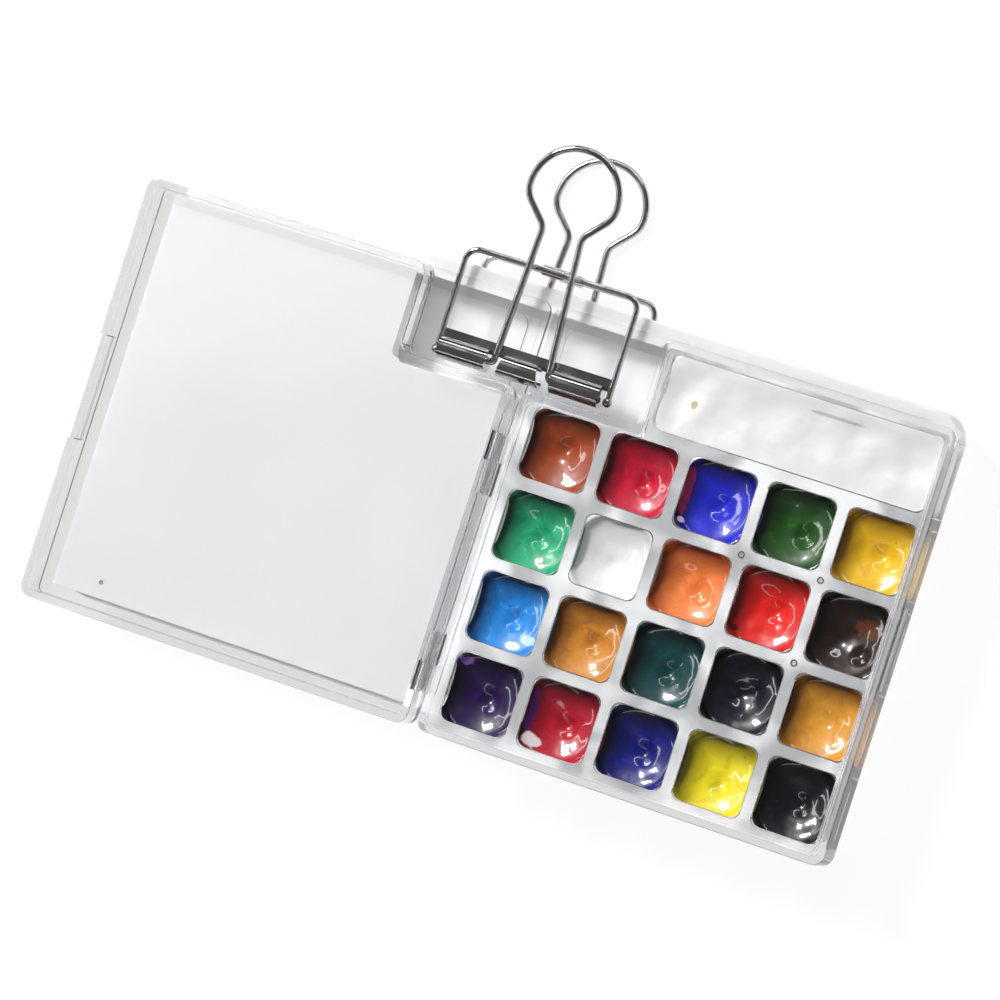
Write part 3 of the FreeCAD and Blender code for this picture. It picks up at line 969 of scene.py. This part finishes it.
# %% Moulding marks
# Painted shade: the marks are dark grey rings standing for the shade in the pins' shallow dimples.
pin_mark_shade_plastic = make_milky("milky_pin_mark_shade", (0.10, 0.10, 0.105, 1), (0.20, 0.20, 0.205, 1), 0.3, 300.0, soak=0.2)
MARKS = [
    ("deck_mark_1", "tray", (69.73, -46.13, DECK - 0.06), 0.75),
    ("deck_mark_2", "tray", (91.38, -46.13, DECK - 0.06), 0.75),
    ("deck_mark_3", "tray", (91.38, -67.78, DECK - 0.06), 0.75),
    ("lid_mark", "lid", (-96.2, -104.8, 1.4), 0.4),
]
for name, body, spot, radius in MARKS:
    start_fresh()
    sizes = {"major_radius": radius * MM, "minor_radius": 0.16 * MM}
    steps = {"major_segments": 32, "minor_segments": 12}
    bpy.ops.mesh.primitive_torus_add(location=place(*spot), **sizes, **steps)
    ring = bpy.context.object
    ring.name = name
    settle()
    bpy.ops.object.shade_smooth()
    ring.data.materials.append(pin_mark_shade_plastic)
    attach(ring, body)
print(len(MARKS), "moulding marks")

# %% [markdown]
# The studio: a wide pale floor, one soft lamp from the upper left that gives the wet highlights and the dark
# hollows, a weak one opposite, and a dim panel overhead that doesn't glint. Four thin strips draw bright
# lines along the wires and wet edges. The sky is dim, which leaves dark bands in the steel.

# %% Floor
start_fresh()
bpy.ops.mesh.primitive_plane_add(size=8.0, location=(0, 0, 0))
floor = bpy.context.object
floor.name = "floor"
material, tree, shader, at = new_material("pale_floor")
mottle = noise(tree, at, 3.0)
pale = blend_colours(tree, mottle, (0.13, 0.13, 0.13, 1), (0.15, 0.15, 0.15, 1))
tree.links.new(pale, shader.inputs["Base Color"])
shader.inputs["Roughness"].default_value = 0.9
shader.inputs["Specular IOR Level"].default_value = 0.0
shader.inputs["Emission Color"].default_value = (1, 1, 1, 1)
shader.inputs["Emission Strength"].default_value = 0.9
floor.data.materials.append(material)
floor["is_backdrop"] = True
print("floor", floor.dimensions.x, "m wide")


# %% Lamps
def soft_lamp(name, at, aim, size, power, thin=None, glints=True):
    """A soft lamp that looks at a point: square, or a strip of the given thickness."""
    data = bpy.data.lights.new(name, "AREA")
    data.shape = "RECTANGLE"
    data.size = size
    data.size_y = thin or size
    data.energy = power
    lamp = bpy.data.objects.new(name, data)
    lamp.location = at
    lamp.rotation_euler = (Vector(aim) - Vector(at)).to_track_quat("-Z", "Y").to_euler()
    lamp.visible_glossy = glints
    bpy.context.scene.collection.objects.link(lamp)
    return lamp


def strip_lamp(name, at, aim, length, power, along_x):
    """A long thin lamp, which draws a bright line along wires, rolls and wet edges."""
    lamp = soft_lamp(name, at, aim, length, power, thin=0.09)
    look = (Vector(aim) - Vector(at)).normalized()
    side = Vector((1, 0, 0)) if along_x else Vector((0, 1, 0))
    up = look.cross(side).normalized()
    turn = Matrix((side, -up, -look)).transposed()
    lamp.rotation_euler = turn.to_euler()
    return lamp


middle_of_box = place(0, -WIDTH / 2, 0)
soft_lamp("key", (-1.0, 0.75, 1.35), middle_of_box, 0.34, 30.0)
soft_lamp("side", (1.3, -0.9, 0.9), middle_of_box, 0.4, 1.5, glints=False)
soft_lamp("top", (0.15, 1.25, 1.9), middle_of_box, 0.7, 5.0, glints=False)
strip_lamp("strip_top", (0.0, 1.6, 1.0), middle_of_box, 1.5, 5.0, along_x=True)
strip_lamp("strip_bottom", (0.0, -1.5, 1.1), middle_of_box, 1.5, 1.6, along_x=True)
strip_lamp("strip_left", (-1.4, 0.0, 1.0), middle_of_box, 1.5, 4.0, along_x=False)
strip_lamp("strip_right", (1.8, 0.0, 0.9), middle_of_box, 1.5, 2.0, along_x=False)
print("seven lamps")

# %% Sky
world = bpy.data.worlds.new("studio")
bpy.context.scene.world = world
world.use_nodes = True
tree = world.node_tree
background = tree.nodes["Background"]
direction = put(tree, "ShaderNodeTexCoord").outputs["Generated"]
up = put(tree, "ShaderNodeSeparateXYZ", {0: direction}).outputs["Z"]
sky = blend_colours(tree, ramp(tree, up, 0.05, 0.75), (0.03, 0.03, 0.032, 1), (0.14, 0.14, 0.145, 1))
tree.links.new(sky, background.inputs["Color"])
background.inputs["Strength"].default_value = 0.7
scene = bpy.context.scene
scene.view_settings.view_transform = "Standard"
scene.view_settings.look = "None"
scene.cycles.transparent_max_bounces = 32
print("sky and view set")

# %% Sizes
visual_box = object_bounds()
sizes = {"cad": [list(corner) for corner in cad_box], "visual": [list(corner) for corner in visual_box]}
print("visual box in mm:", [[round(v * 1000, 1) for v in corner] for corner in visual_box])
